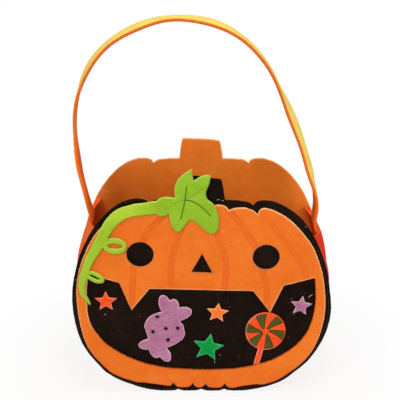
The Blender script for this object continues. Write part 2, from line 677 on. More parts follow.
def repeated(name, shape, faces, places, frames, material):
    """Copies of one small closed shape: every copy is its place plus its frame's axes times the shape."""
    points = places[:, None] + np.einsum("nij,pj->npi", frames, shape)
    step = (np.arange(len(places)) * len(shape))[:, None, None]
    mesh = bpy.data.meshes.new(name)
    mesh.from_pydata(points.reshape(-1, 3).tolist(), [], (faces[None] + step).reshape(-1, 4).tolist())
    mesh.shade_smooth()
    mesh.update()
    piece = place_piece(name, mesh)
    piece.data.materials.append(material)
    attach(piece, "bag")


def tube_shape(route, radii):
    """Six-sided tube around a route in the x-y plane: circles across it, the end ones nearly points."""
    flat = np.zeros((len(route), 1))
    angle = np.arange(6) * 2 * math.pi / 6
    ring = np.cos(angle)[None, :, None] * np.hstack([left_normals(route), flat])[:, None]
    ring = ring + np.sin(angle)[None, :, None] * np.array((0.0, 0.0, 1.0))
    points = np.hstack([route, flat])[:, None] + ring * radii[:, None, None]
    index = np.arange(len(route) * 6).reshape(-1, 6)
    faces = grid_faces(np.column_stack([index, index[:, 0]]))[:, ::-1]
    caps = [end[half] for end in (index[0, ::-1], index[-1]) for half in ([0, 1, 2, 3], [0, 3, 4, 5])]
    return points.reshape(-1, 3), np.vstack([faces, caps])


def sew(name, path, out, settings, material):
    """A row of stitches one pitch apart along a path in space, on the side of the felt that out points to.

    Each stitch is a thread that rises out of the felt and dives back: its middle lies at its radius times
    1.25 (1 - s^4) - 0.75, for s from -1 to 1 along it.
    """
    total = path_length(path)
    place = np.arange(settings.stitch_pitch / 2, total[-1], settings.stitch_pitch)
    along = unit(sampled(np.gradient(path, axis=0), total, place))
    out = sampled(out, total, place)
    out = unit(out - along * np.sum(along * out, axis=1)[:, None])
    frames = np.stack([along, out, np.cross(along, out)], axis=2)
    s = np.linspace(-1, 1, 9)
    radius = settings.thread_radius
    route = np.column_stack([s * settings.stitch_length / 2, radius * (1.25 * (1 - s**4) - 0.75)])
    shape, faces = tube_shape(route, radius * np.sqrt(np.clip(1 - np.abs(s) ** 6, 0.02, 1)))
    repeated(name, shape, faces, sampled(path, total, place), frames, material)


# Materials


def wire(node, inputs):
    """Links or sets a node's inputs by name or number."""
    for key, value in inputs.items():
        if isinstance(value, bpy.types.NodeSocket):
            node.id_data.links.new(value, node.inputs[key])
        else:
            node.inputs[key].default_value = value


def add(tree, kind, inputs=None, out=0, stops=(), **settings):
    """Adds a node with its settings, a colour ramp's stops and its inputs, and returns one of its outputs."""
    node = tree.nodes.new("ShaderNode" + kind)
    for key, value in settings.items():
        setattr(node, key, value)
    if stops:
        band = node.color_ramp.elements
        while len(band) < len(stops):
            band.new(0.5)
        for element, (position, colour) in zip(band, stops):
            element.position = position
            element.color = colour
    wire(node, inputs or {})
    return node.outputs[out]


def new_material(name):
    """A material, its node tree and its shader."""
    material = bpy.data.materials.new(name)
    material.use_nodes = True
    return material, material.node_tree, material.node_tree.nodes["Principled BSDF"]


def felt(
    name, colours, rim, sheen=0.12, streak=1.0, marks=(), cloth=False, seed=0.0, rim_least=0.35, gloss=0.15
):
    """Needled polyester felt: matt, softly mottled, with fibres that lie mostly along one direction.

    colours are the shade, the main colour and the light fibre. rim is the cut edge's colour, or two of them
    that the attribute "tone" chooses between. marks are prints or pressed lines: an attribute, stops of how
    much it shows, its colour, and what is left of it where it is worn. Real fibres are about 0.02 mm thick,
    too fine to show, so they are drawn as streaks 0.7 mm wide and 5 mm long.
    """
    material, tree, shader = new_material(name)
    if cloth:
        place = add(tree, "UVMap", uv_map="cloth")
    else:
        place = add(tree, "TexCoord", out="Object")
    fibre_scale, cross_scale, turn = CLOTH_GRAIN if cloth else SHEET_GRAIN
    moved = add(tree, "Mapping", {"Vector": place, "Location": (seed, seed * 0.37, 0)})
    along = add(tree, "Mapping", {"Vector": moved, "Scale": fibre_scale})
    across = add(tree, "Mapping", {"Vector": moved, "Rotation": turn, "Scale": cross_scale})
    fibres, tangle, mottle, cloud, fine = (
        add(
            tree, "TexNoise",
            {"Vector": vector, "Scale": scale, "Detail": detail, "Roughness": roughness},
        )
        for vector, scale, detail, roughness in (
            (along, 1.0, 3.0, 0.65), (across, 1.0, 3.0, 0.6), (moved, MOTTLE, 2.0, 0.5),
            (moved, CLOUD, 2.0, 0.5), (moved, FINE_GRAIN, 2.0, 0.6),
        )
    )
    # Each noise swings around one half, and so does their weighted sum
    parts = ((fibres, 0.26 * streak), (tangle, 0.26), (mottle, 0.20), (cloud, 0.24))
    total = 0.5 - sum(share for _, share in parts) / 2
    for noise, share in parts:
        total = add(tree, "Math", {0: noise, 1: share, 2: total}, operation="MULTIPLY_ADD")
    shade, main, light = (linear_colour(text) for text in colours)
    tones = ((0.32, shade), (0.5, main), (0.68, light))
    colour = add(tree, "ValToRGB", {"Fac": total}, stops=tones)
    speckle = add(tree, "Math", {0: mottle, 1: tangle}, operation="ADD")
    for attribute, steps, text, least in marks:
        source = add(tree, "Attribute", out="Fac", attribute_name=attribute)
        greys = [(position, (much, much, much, 1.0)) for position, much in steps]
        much = add(tree, "ValToRGB", {"Fac": source}, stops=greys)
        worn = add(
            tree, "MapRange",
            {"Value": speckle, "From Min": 0.82, "From Max": 1.12, "To Min": least, "To Max": 1.0},
        )
        much = add(tree, "Math", {0: much, 1: worn}, operation="MULTIPLY")
        pair = {"Factor": much, 6: colour, 7: linear_colour(text)}
        colour = add(tree, "Mix", pair, out=2, data_type="RGBA")
    cut = add(tree, "Attribute", out="Fac", attribute_name="edge")
    broken = add(
        tree, "MapRange",
        {"Value": tangle, "From Min": 0.35, "From Max": 0.65, "To Min": rim_least, "To Max": 1.0},
    )
    cut = add(tree, "Math", {0: cut, 1: broken}, operation="MULTIPLY")
    if isinstance(rim, str):
        edging = linear_colour(rim)
    else:
        tone = add(tree, "Attribute", out="Fac", attribute_name="tone")
        pair = {"Factor": tone, 6: linear_colour(rim[0]), 7: linear_colour(rim[1])}
        edging = add(tree, "Mix", pair, out=2, data_type="RGBA")
    pair = {"Factor": cut, 6: colour, 7: edging}
    colour = add(tree, "Mix", pair, out=2, data_type="RGBA")
    height = add(tree, "Math", {0: fine, 1: 0.5, 2: total}, operation="MULTIPLY_ADD")
    bump = add(tree, "Bump", {"Strength": 0.35, "Distance": 0.0004, "Height": height})
    rough = add(tree, "MapRange", {"Value": fine, "To Min": 0.88, "To Max": 0.98})
    wire(shader, {
        "Base Color": colour, "Normal": bump, "Roughness": rough, "Specular IOR Level": gloss,
        "Sheen Weight": sheen, "Sheen Roughness": 0.45, "Sheen Tint": light,
    })
    return material


def thread_material(name, colour, light):
    """Spun polyester thread: a little sheen, with fine turns of its ply 0.5 mm apart."""
    material, tree, shader = new_material(name)
    place = add(tree, "TexCoord", out="Object")
    ply = add(tree, "TexNoise", {"Vector": place, "Scale": THREAD_PLY, "Detail": 2.0})
    tones = ((0.35, linear_colour(colour)), (0.7, linear_colour(light)))
    colour = add(tree, "ValToRGB", {"Fac": ply}, stops=tones)
    bump = add(tree, "Bump", {"Strength": 0.3, "Distance": 0.0001, "Height": ply})
    wire(shader, {"Base Color": colour, "Normal": bump, "Roughness": 0.7})
    return material


# Flat pieces


def lay_felt(
    name, node, slot, material, loops, thickness, front=None, warp=front_warp, held="laid",
    rests_on="black_front", flat=None, **cut
):
    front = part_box(node)[0][1] if front is None else front
    piece = cut_felt(name, loops, front, thickness, CUTS.get(node, SMALL_CUT)[1], warp, **cut)
    piece.data.materials.append(material)
    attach(piece, "bag")
    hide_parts(node)
    if flat is None:
        flat = tuple(float(size) for size in np.ptp(loops[0], axis=0))
    area = sum(signed_area(loop) for loop in loops)


def small_shape(settings, node, name, material, slot, table=(), shape=np.array, holes=(), fields=None):
    """Cuts a small glued shape: its packed outline, settled and redrawn by shape, and its punched holes."""
    loops = [shape(loop) for loop in cut_outline(node, 0.5 * settings.cut_wobble, table)]
    lay_felt(name, node, slot, material, [*loops, *holes], settings.shape_felt, fields=fields)


# The gusset and the strap, by the same formulas as their solids


def quarter(centre, radii, power, start, end, count):
    """Superellipse arc between two angles in degrees, with |x/a|^power + |z/b|^power = 1."""
    angle = np.radians(np.linspace(start, end, count))
    turned = np.column_stack([np.cos(angle), np.sin(angle)])
    return np.array(centre) + np.array(radii) * np.sign(turned) * np.abs(turned) ** (2 / power)


def panel_side(heights):
    """Half width of the smooth panel outline at each height."""
    up = np.clip((heights - WAIST_HEIGHT) / CROWN_RISE, 0, 1)
    down = np.clip((WAIST_HEIGHT - heights) / WAIST_HEIGHT, 0, 1)
    above = SHOULDER_X + (HALF_WIDTH - SHOULDER_X) * (1 - up**SHOULDER_POWER) ** (1 / SHOULDER_POWER)
    below = HIP_X + (HALF_WIDTH - HIP_X) * (1 - down**HIP_POWER) ** (1 / HIP_POWER)
    return np.where(heights >= WAIST_HEIGHT, above, below)


def gusset_route(step):
    """Smooth settled outline from high on the left shoulder, down, under the bottom and up to the right."""
    top = (ROUTE_TOP - WAIST_HEIGHT) / CROWN_RISE
    start = math.degrees(math.asin(top ** (SHOULDER_POWER / 2)))
    radii = (HALF_WIDTH - SHOULDER_X, CROWN_RISE)
    shoulder = quarter((SHOULDER_X, WAIST_HEIGHT), radii, SHOULDER_POWER, start, 0, 80)
    hip = quarter((HIP_X, WAIST_HEIGHT), (HALF_WIDTH - HIP_X, WAIST_HEIGHT), HIP_POWER, 0, -90, 120)
    right = np.vstack([shoulder[:-1], hip[:-1], [(HIP_X, 0.0), (0.0, 0.0)]])
    return even_steps(nudged(np.vstack([right * (-1, 1), right[-2::-1]]), SETTLED), step)


def slump(heights, right):
    """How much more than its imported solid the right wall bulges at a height, or the left one."""
    return np.interp(heights, SLUMP_HEIGHTS, RIGHT_SLUMP if right else LEFT_SLUMP)


def end_heights(depth, tops):
    """Height of a gusset end across its depth: level at the strap, and rising to the front and the back."""
    away = (depth - GUSSET_MIDDLE) / (GUSSET_DEPTH / 2)
    level = np.where(away < 0, *LEVEL_SHARES)
    lift = np.clip((np.abs(away) - level) / (1 - level), 0, 1) ** 1.15
    front, middle, back = tops
    return middle + lift * np.where(away < 0, front - middle, back - middle)


def gusset_grid():
    """Grid of the strip's middle surface, from its left end to its right end.

    A row runs from the front flange's edge, round a fold, across the wall and round to the back flange. The
    wall bulges out by a half sine across its depth. Slow waves along it die out where the panels, the sewn
    strap ends or the floor hold it.
    """
    route = gusset_route(ROUTE_STEP)
    along = path_length(route)
    middle = len(route) // 2
    edge = SEAM_ALLOWANCE - FLANGE_SETBACK
    fold = np.radians(np.linspace(0, 90, FOLD_POINTS))
    near_y = GUSSET_FRONT + GUSSET_FELT / 2
    far_y = GUSSET_BACK - GUSSET_FELT / 2
    wall_near, wall_far = near_y + FOLD_RADIUS, far_y - FOLD_RADIUS
    flange = np.array((edge, edge - RING_INSETS[0], edge - RING_INSETS[1]))
    out = np.concatenate([flange, FOLD_RADIUS * (1 - np.sin(fold))])
    into = np.concatenate([np.zeros(len(flange)), FOLD_RADIUS * (1 - np.cos(fold))])
    wall = np.linspace(wall_near, wall_far, WALL_POINTS)[1:-1]
    reach = np.concatenate([out, np.zeros(len(wall)), out[::-1]])
    depth = np.concatenate([near_y + into, wall, (far_y - into)[::-1]])
    share = np.pad(np.sin(np.pi * (wall - wall_near) / (wall_far - wall_near)), len(out))
    # Each column of the strip runs between its own two ends, because the top edges dip beside the strap
    starts = np.interp(-end_heights(depth, LEFT_TOPS), -route[:middle, 1], along[:middle])
    ends = np.interp(end_heights(depth, RIGHT_TOPS), route[middle:, 1], along[middle:])
    stations = edge_stations(along[-1], GUSSET_ROWS) / along[-1]
    place = starts[None] + (ends - starts)[None] * stations[:, None]
    x, z, inward_x, inward_z = (
        np.interp(place, along, column) for column in (*route.T, *left_normals(route).T)
    )
    high = np.clip(z / WAIST_HEIGHT, 0, 1)
    bulge = BASE_BULGE + (SIDE_BULGE - BASE_BULGE) * high + np.where(x > 0, slump(z, True), slump(z, False))
    free = share[None] * np.clip(high * 1.6 - 0.25, 0, 1)
    held = between(z, 0.10, 0.12) * fade(depth - GUSSET_MIDDLE, 0.014, 4)[None]
    waves = slow_waves(place, depth[None], GUSSET_WAVES) * free * (1 - held)
    offset = SEAM_ALLOWANCE - reach[None] - bulge * share[None] + waves
    grid = np.empty((*place.shape, 3))
    grid[:, :, 0] = x + inward_x * offset
    # The felt turns smoothly flat where it would sink below the floor
    over = z + inward_z * offset - GUSSET_FELT / 2
    grid[:, :, 2] = GUSSET_FELT / 2 + (over + np.sqrt(over**2 + FLOOR_EASE**2)) / 2
    # The flanges go with the panels that they are sewn to
    back = between(depth, near_y, far_y)
    front_move = front_warp(grid[:, :, 0], grid[:, :, 2]) * (1 - back) ** 3
    back_move = back_warp(grid[:, :, 0], grid[:, :, 2]) * back**3
    grid[:, :, 1] = depth[None] + front_move + back_move
    return grid


def strap_middle():
    """The strap's middle from its left sewn end over the arch to its right one: (x, z) and its twist.

    The sewn ends lie inside the bulged gusset. The arch is a chain of cubic spans, and a running mean of
    14 mm rounds its bends where it leaves the gusset.
    """
    heights = np.linspace(GUSSET_TOP - TAB_LENGTH, GUSSET_TOP - TAB_SETBACK, 24)
    edge_share = math.cos(math.pi * STRAP_WIDTH / 2 / GUSSET_DEPTH)
    slope = np.gradient(panel_side(heights), heights)
    stand_off = (GUSSET_FELT / 2 + LAYER_GAP + STRAP_FELT / 2) * np.sqrt(1 + slope**2)
    reach = panel_side(heights) - SEAM_ALLOWANCE + SIDE_BULGE * edge_share - stand_off
    shift = (slump(heights, True) + np.interp(heights, *np.array(STRAP_LEAN).T)) * edge_share
    left = np.column_stack([-reach - slump(heights, False) * edge_share, heights])
    right = np.column_stack([reach + shift, heights])[::-1]
    foot = AXIS_HEIGHT - ARCH_FOOT
    knots = np.array((
        (-reach[-1], foot), (-LEFT_BOW, AXIS_HEIGHT + LEFT_BOW_HEIGHT), (-ARCH_LEAN, AXIS_HEIGHT + ARCH_RISE),
        (RIGHT_KNEE, AXIS_HEIGHT + RIGHT_KNEE_HEIGHT), (reach[-1] + shift[-1], foot),
    ))
    before, after = np.array(ARCH_HANDLES).transpose(1, 0, 2)
    t = np.linspace(0, 1, 60)[1:, None]
    spans = zip(knots, knots + after, knots[1:] + before[1:], knots[1:])
    arch = np.vstack([knots[:1], *[cubic(*span, t) for span in spans]])
    lead = path_length(left)[-1] + np.linalg.norm(arch[0] - left[-1])
    path = even_steps(np.vstack([left, arch, right]), STRAP_STEP)
    path = np.column_stack(
        [running_mean(column, ROUTE_MEAN, mode="reflect", reflect_type="odd") for column in path.T]
    )
    share = (path_length(path) - lead) / path_length(arch)[-1]
    stray = running_mean(np.interp(share, *np.array(STRAY).T) / 1000, STRAY_MEAN, mode="edge")
    twist = running_mean(np.radians(np.interp(share, *np.array(TWIST).T)), TWIST_MEAN, mode="edge")
    return path + left_normals(path) * stray[:, None], twist


def strap_grid():
    """Rows of points across the strap: its middle plus the width's direction, turned by the twist.

    A parabola across it, and above the bag a slow ripple along it, lift it off the flat.
    """
    path, twist = strap_middle()
    length = path_length(path)
    place = edge_stations(length[-1], STRAP_ROWS)
    path = sampled(path, length, place)
    twist = np.interp(place, length, twist)[:, None]
    outward = left_normals(path)
    across = edge_stations(STRAP_WIDTH, STRAP_COLUMNS) - STRAP_WIDTH / 2
    ripple = slow_waves(place[:, None], across[None], STRAP_WAVES)
    free = between(path[:, 1] - AXIS_HEIGHT, 0.01, 0.04)[:, None]
    lift = STRAP_CUP * (1 - (2 * across / STRAP_WIDTH) ** 2) + ripple * free
    turned = across * np.sin(twist) + lift * np.cos(twist)
    flat = path[:, None] + outward[:, None] * turned[..., None]
    y = GUSSET_MIDDLE + across * np.cos(twist) - lift * np.sin(twist)
    return np.stack([flat[..., 0], y, flat[..., 1]], axis=2)


# What a user would change


def size_property(name, description, default):
    """A length that a user would change."""
    return bpy.props.FloatProperty(name=name, description=description, default=default, unit="LENGTH")


class FeltBasketSettings(bpy.types.PropertyGroup):
    """Sizes and colours of the felt basket."""

    panel_felt: size_property("Panel felt", "Thickness of both panels", 0.0020)
    face_felt: size_property("Face felt", "Thickness of the glued face and of the leaf", 0.0015)
    shape_felt: size_property("Shape felt", "Thickness of the small glued shapes", 0.0012)
    cut_wobble: size_property("Cut wobble", "How far a die-cut edge strays from its outline", 0.00011)
    stitch_pitch: size_property("Stitch pitch", "Distance between stitches", 0.0034)
    stitch_length: size_property("Stitch length", "Length of a stitch on the felt", 0.0025)
    thread_radius: size_property("Thread radius", "Half of the thread's thickness", 0.00024)
    rib_depth: size_property("Rib depth", "How deep the face's ribs are pressed", 0.00014)
    vein_depth: size_property("Vein depth", "How deep the leaf's veins are pressed", 0.00035)
    camera_height: size_property("Camera height", "Height of the camera above the floor", 0.5251)
    floor_lift: bpy.props.FloatProperty(
        name="Floor lift", description="How much the paper glows where the bag stands", default=0.85, min=0,
        max=1,
    )
    floor_colour: bpy.props.FloatVectorProperty(
        name="Floor colour", description="Colour of the paper under the bag", size=4, min=0, max=1,
        subtype="COLOR", default=linear_colour("#F7F7F5"),
    )


# One operator for each piece or group of like pieces, and one for the stage


class FELT_OT_front_panel(bpy.types.Operator):
    """Cuts the black front panel"""

    bl_idname = "felt.front_panel"
    bl_label = "Black front"
    bl_options = {"REGISTER", "UNDO"}

    def execute(self, context):
        settings = context.scene.felt_basket
        loops = cut_outline("front_panel", settings.cut_wobble, SETTLED + SETTLED_FRONT)
        # Black felt swallows nearly all light: its sheen is faint, and brown fibres show in long streaks
        black = felt(
            "needled_black_felt", ("#090402", "#1A100A", "#2B1C15"), "#1E130D", sheen=0.01, gloss=0.05,
            streak=2.0, seed=1.3,
        )
        lay_felt(
            "black_front", "front_panel", "black_felt", black, loops, settings.panel_felt,
            held="stretched", rests_on="gusset",
        )
        return {"FINISHED"}


class FELT_OT_back_panel(bpy.types.Operator):
    """Cuts the orange back panel"""

    bl_idname = "felt.back_panel"
    bl_label = "Orange back"
    bl_options = {"REGISTER", "UNDO"}

    def execute(self, context):
        settings = context.scene.felt_basket
        loops = cut_outline("back_panel", settings.cut_wobble, SETTLED + SETTLED_BACK)
        # Plain matt felt, whose loose fibres make the cut edge paler
        orange = felt("needled_orange_felt_back", ("#EC7018", "#FC8428", "#FF9844"), "#FFBE78", seed=2.7)
        lay_felt(
            "orange_back", "back_panel", "orange_felt", orange, loops, settings.panel_felt,
            front=BACK_FACE - settings.panel_felt, warp=back_warp, held="stretched", rests_on="gusset",
        )
        return {"FINISHED"}


class FELT_OT_gusset(bpy.types.Operator):
    """Folds the gusset strip between the panels"""

    bl_idname = "felt.gusset"
    bl_label = "Gusset"
    bl_options = {"REGISTER", "UNDO"}

    def execute(self, context):
        grid = gusset_grid()
        right = between(grid[:, :, 0].ravel(), 0, 0.06)
        strip = strip_felt("orange_gusset", grid, GUSSET_FELT, {"right": right})
        # Stretched felt has hardly any sheen, and the right wall looks a deeper red than the left one
        orange = felt(
            "needled_orange_felt_gusset", ("#F0581A", "#FF6D22", "#FF8A40"), "#F8762C", cloth=True,
            marks=[("right", ((0.0, 0.0), (1.0, 0.92)), "#E02000", 0.92)], sheen=0.04, seed=4.1,
        )
        strip.data.materials.append(orange)
        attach(strip, "bag")
        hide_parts("gusset")
        width = float(path_length(grid[len(grid) // 2])[-1])
        length = float(path_length(grid[:, 0])[-1])
        return {"FINISHED"}


class FELT_OT_face(bpy.types.Operator):
    """Cuts the orange face with its printed ribs"""

    bl_idname = "felt.face"
    bl_label = "Face"
    bl_options = {"REGISTER", "UNDO"}

    def execute(self, context):
        settings = context.scene.felt_basket
        raw = cut_outline("face_overlay", settings.cut_wobble)
        mouth = nudged(raw[1], SETTLED_MOUTH)
        low = between(mouth[:, 1], 0.080, 0.060)[:, None]
        mouth = mouth + unit(mouth - (0, MOUTH_MIDDLE)) * MOUTH_SWELL * low
        loops = [nudged(raw[0], SETTLED + SETTLED_FACE), mouth, *raw[2:]]
        ribs = smooth_lines([rib[1:] for rib in RIBS], RIB_STEP)

        def cut_light(out, loop):
            """The crown's edge and the fangs catch the light, and what faces the chin is dull."""
            tone = np.clip(1.0 + 2.2 * (out[:, 1] + 0.15), 0, 1)
            tone = np.where(loop == 1, np.clip(0.5 - 1.3 * out[:, 1] + 0.6 * out[:, 0], 0, 1), tone)
            return np.where(loop > 1, 0.22, tone)

        def rib_print(flat):
            """A dull band 3.8 mm wide, between two redder lines 2 mm to both sides of the rib's middle."""
            shade = np.zeros(len(flat))
            for (weight, *_), rib in zip(RIBS, ribs):
                away = distance_to_lines(flat, [rib]) * 1000
                band = 0.42 * fade(away, 1.9, 4) + 0.58 * fade(away - 2.0, 0.75)
                shade = np.maximum(shade, weight * band)
            return shade

        def relief(flat):
            """Pressed band: a flat valley 4 mm wide whose sides rise as exp of minus distance to the 4th."""
            return settings.rib_depth * fade(distance_to_lines(flat, ribs), 0.0021, 4)

        # The ribs' ink has sunk into the felt: it is worn through by the fibres, and no glossier
        orange = felt(
            "needled_orange_felt_face", ("#DE6414", "#EC7422", "#F48634"), ("#7E2008", "#FFD795"),
            marks=[("rib", ((0.0, 0.0), (1.0, 1.0)), "#DC4614", 0.25)], seed=0.6,
        )
        lay_felt(
            "orange_face", "face_overlay", "orange_felt", orange, loops, settings.face_felt,
            lines=ribs, offsets=RIB_OFFSETS, relief=relief,
            fields={"rib": rib_print, "tone": rim_tone(loops, cut_light)},
        )
        return {"FINISHED"}


class FELT_OT_leaf(bpy.types.Operator):
    """Cuts the lime leaf with its vine and veins"""

    bl_idname = "felt.leaf"
    bl_label = "Leaf and vine"
    bl_options = {"REGISTER", "UNDO"}

    def execute(self, context):
        settings = context.scene.felt_basket
        loops = cut_outline("leaf_and_vine", 0.6 * settings.cut_wobble, SETTLED_LEAF)
        deep, faint = smooth_lines(VEINS, VEIN_STEP), smooth_lines(FAINT_VEINS, VEIN_STEP)

        def relief(flat):
            """Pressed veins: grooves whose depth falls off as exp of minus the distance squared."""
            depth = fade(distance_to_lines(flat, deep), 0.00045)
            return settings.vein_depth * np.maximum(depth, 0.5 * fade(distance_to_lines(flat, faint), 0.0004))

        def cut_light(out, loop):
            """The cut edge catches the light at the upper left and is in shade at the lower right."""
            return np.clip(0.62 - 0.75 * (0.55 * out[:, 0] - 0.83 * out[:, 1]), 0, 1)

        def sun(flat):
            """Where the vine's upper bend is bleached: 1 left of the leaf, and a third of it lower down."""
            return between(flat[:, 0], -0.032, -0.057) * (0.3 + 0.7 * between(flat[:, 1], 0.158, 0.170))

        marks = (
            ("sun", ((0.0, 0.0), (1.0, 0.75)), "#C0D63C", 0.8),
            ("vein", ((0.0, 0.95), (0.14, 0.85), (0.30, 0.14), (0.45, 0.0)), "#2E4712", 0.8),
            ("faint_vein", ((0.0, 0.55), (0.12, 0.45), (0.26, 0.1), (0.4, 0.0)), "#4A6A1C", 0.5),
        )
        # The pressed veins look dark, and the cut edge shows paler fibres where it catches the light
        lime = felt(
            "needled_lime_felt", ("#7EA81C", "#8FB827", "#A2C83C"), ("#4E5A10", "#CCE064"), marks=marks,
            rim_least=0.45, seed=6.2,
        )
        lay_felt(
            "lime_leaf_and_vine", "leaf_and_vine", "lime_felt", lime, loops, settings.face_felt,
            rests_on="orange_face", flat=LEAF_FLAT, lines=deep + faint, offsets=VEIN_OFFSETS, relief=relief,
            fields={
                "tone": rim_tone(loops, cut_light),
                "sun": sun,
                "vein": lambda flat: np.clip(distance_to_lines(flat, deep) / 0.002, 0, 1),
                "faint_vein": lambda flat: np.clip(distance_to_lines(flat, faint) / 0.002, 0, 1),
            },
        )
        return {"FINISHED"}


class FELT_OT_stars(bpy.types.Operator):
    """Cuts the four stars"""

    bl_idname = "felt.stars"
    bl_label = "Stars"
    bl_options = {"REGISTER", "UNDO"}

    def execute(self, context):
        # Thin plain felt in strong colours, whose cut edges look paler
        for star, slot, name, colours, rim, streak, seed in STARS:
            material = felt(name, colours, rim, streak=streak, seed=seed)
            small_shape(context.scene.felt_basket, f"star_{star}", f"felt_star_{star}", material, slot)
        return {"FINISHED"}


class FELT_OT_candy(bpy.types.Operator):
    """Cuts the purple sweet with its punched dots"""

    bl_idname = "felt.candy"
    bl_label = "Wrapped sweet"
    bl_options = {"REGISTER", "UNDO"}

    def execute(self, context):
        angle = -np.arange(DOT_POINTS) * 2 * math.pi / DOT_POINTS
        dots = []
        # Each dot is punched a little out of round, by two cosines of the angle
        for number, (x, z, radius) in enumerate(DOTS):
            reach = radius * (1 + 0.14 * np.cos(2 * angle + number) + 0.06 * np.cos(3 * angle + 2 * number))
            dots.append(np.column_stack([x + reach * np.cos(angle), z + reach * np.sin(angle)]) / 1000)
        middles = np.array([dot.mean(axis=0) for dot in dots])

        def away_from_dots(flat):
            """0 on the punched edges and 1 from 3.4 mm off a dot's middle."""
            away = np.sqrt(((flat[:, None] - middles) ** 2).sum(axis=2)).min(axis=1)
            return between(away, 0.0026, 0.0034)

        # The outer cut shows pale fibres, and the punched holes show the shade inside the felt
        purple = felt(
            "needled_purple_felt", ("#9A5E7C", "#B27392", "#CA98B2"), ("#4A2034", "#ECC4D0"), streak=1.2,
            seed=5.2,
        )
        small_shape(
            context.scene.felt_basket, "candy_applique", "felt_sweet", purple, "purple_felt",
            SETTLED_CANDY, holes=dots, fields={"tone": away_from_dots},
        )
        return {"FINISHED"}


class FELT_OT_lollipop(bpy.types.Operator):
    """Cuts the lollipop and prints its swirl"""

    bl_idname = "felt.lollipop"
    bl_label = "Lollipop"
    bl_options = {"REGISTER", "UNDO"}

    def execute(self, context):
        loop = node_loops("lollipop")[0]
        middle_x = (loop[:, 0].min() + loop[:, 0].max()) / 2
        centre = np.array((middle_x, loop[:, 1].max() - DISC_RADIUS))

        def drawn_out(outline):
            """The disc drawn a little taller than wide, and the stick's end pulled along the stick."""
            offset = outline - centre
            pull = between(offset[:, 1], -0.0185, -0.0225)[:, None]
            return centre + offset * DISC_STRETCH + (0, -0.0006) + pull * np.array(STICK_PULL)

        def sector_depth(flat):
            """How far inside a printed sector a point lies: 0.5 at its edge, and 0.5 more per millimetre."""
            offset = flat - centre - (0, -0.0008)
            radius = np.linalg.norm(offset, axis=1)
            angle = np.arctan2(offset[:, 1], offset[:, 0])
            out = between(radius, HUB_RADIUS, PRINT_RADIUS)
            depth = np.full(len(flat), -1.0)
            for rim, hub, spread in SECTORS:
                middle = np.radians(hub + (rim - hub) * out**0.6)
                away = np.abs((angle - middle + math.pi) % (2 * math.pi) - math.pi)
                half = PRINT_ROOT + (PRINT_RADIUS * math.sin(math.radians(spread)) - PRINT_ROOT) * out
                depth = np.maximum(depth, half - away * radius)
            depth = np.minimum(depth, np.minimum(radius - HUB_RADIUS, PRINT_RADIUS - radius))
            return np.clip(0.5 + depth / 0.002, 0, 1)

        def rim_light(flat):
            """Pale on the cut edge's lower left and dull on its upper right: a slanted ramp over the disc."""
            offset = (flat - centre) / DISC_RADIUS
            return np.clip(0.45 - 0.8 * offset[:, 0] - 0.35 * offset[:, 1], 0, 1)

        outline = ((0.0, 0.0), (0.43, 0.0), (0.50, 1.0), (1.0, 1.0))
        filling = ((0.0, 0.0), (0.64, 0.0), (0.86, 1.0), (1.0, 1.0))
        # Screen printed felt: the ink soaks in, dark along each sector's edge and thinner inside it
        red = felt(
            "printed_red_orange_felt", ("#E24010", "#F44E1A", "#FF6A38"), ("#EE5420", "#F0B098"),
            marks=[("print", outline, "#342A0E", 0.97), ("print", filling, "#52561E", 0.55)], seed=1.9,
        )
        small_shape(
            context.scene.felt_basket, "lollipop", "felt_lollipop", red, "red_orange_felt",
            shape=drawn_out, fields={"print": sector_depth, "tone": rim_light},
        )
        return {"FINISHED"}


class FELT_OT_strap(bpy.types.Operator):
    """Bends the strap over its arch"""

    bl_idname = "felt.strap"
    bl_label = "Strap"
    bl_options = {"REGISTER", "UNDO"}

    def execute(self, context):
        grid = strap_grid()
        height = grid[:, :, 2].ravel()
        brushed = between(height, 0.152, 0.168)
        fields = {"outer": (brushed, np.zeros(len(height))), "tone": between(height, 0.200, 0.250)}
        strap = strip_felt("orange_strap", grid, STRAP_FELT, fields)
        # The outer side is brushed lighter, and the cut edges show the deeper colour of the felt's core
        stops = ((0.0, 0.0), (0.4, 0.1), (0.9, 1.0), (1.0, 1.0))
        orange = felt(
            "thick_strap_felt", ("#F0661A", "#FC7420", "#FF8630"), ("#FF7014", "#DA601C"),
            marks=[("outer", stops, "#FFE06C", 0.93)], cloth=True, seed=3.3, rim_least=0.85, sheen=0.05,
        )
        strap.data.materials.append(orange)
        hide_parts("handle_strap", "handle_tab_left", "handle_tab_right")
        length = float(path_length(grid[:, grid.shape[1] // 2])[-1])
        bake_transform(strap)
        return {"FINISHED"}


class FELT_OT_stitches(bpy.types.Operator):
    """Sews the panels to the gusset"""

    bl_idname = "felt.stitches"
    bl_label = "Stitches"
    bl_options = {"REGISTER", "UNDO"}

    def execute(self, context):
        black = thread_material("black_thread", "#191210", "#3A2E2A")
        orange = thread_material("orange_thread", "#D8641C", "#F59A50")
        # The seams run inside the smooth outline's edge, up to the gusset's ends
        route = gusset_route(SEAM_STEP)
        seam = route + left_normals(route) * SEAM_INSET
        x, z = seam[seam[:, 1] < GUSSET_TOP - 0.003].T
        # Each seam shows on its panel and on the gusset's turned-out edge inside the bag
        for name, y, warp, side, thread in (
            ("front_seam", PANEL_FRONT, front_warp, -1, black),
            ("back_seam", BACK_FACE, back_warp, 1, orange),
            ("front_seam_inside", GUSSET_FRONT + GUSSET_FELT, front_warp, 1, black),
            ("back_seam_inside", GUSSET_BACK - GUSSET_FELT, back_warp, -1, orange),
        ):
            path = np.column_stack([x, y + warp(x, z), z])
            sew(name, path, np.tile((0.0, side, 0.0), (len(x), 1)), context.scene.felt_basket, thread)
        return {"FINISHED"}


